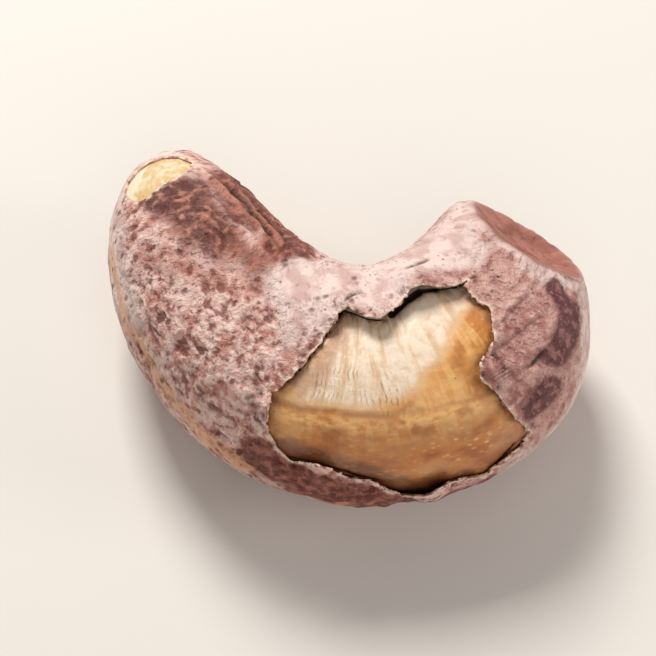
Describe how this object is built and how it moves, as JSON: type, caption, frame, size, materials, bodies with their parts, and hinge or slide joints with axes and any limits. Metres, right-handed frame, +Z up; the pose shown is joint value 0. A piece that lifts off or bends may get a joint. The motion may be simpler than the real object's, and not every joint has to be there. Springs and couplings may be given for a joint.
{
  "type": "roasted cashew nut",
  "caption": "Curved kidney-shaped roasted nut lying on its flank, in a thin papery skin that is torn open over the outer shoulder to show the golden kernel.",
  "frame": {"origin": "on the surface that the nut lies on, under the middle of its box", "axes": "+X along the nut's length towards the blunt lobe, +Y towards its inner curve, +Z up, from the flank that it lies on to the torn flank"},
  "size_m": [0.0306, 0.0208, 0.0134],
  "materials": {
    "kernel": "roasted nut flesh, cream to golden brown, satin with a little oil",
    "skin": "dry papery seed skin, pinkish tan with dark red-brown mottling, matt"
  },
  "bodies": {
    "root": {"kernel": "kernel", "skin": "skin"}
  },
  "joints": []
}
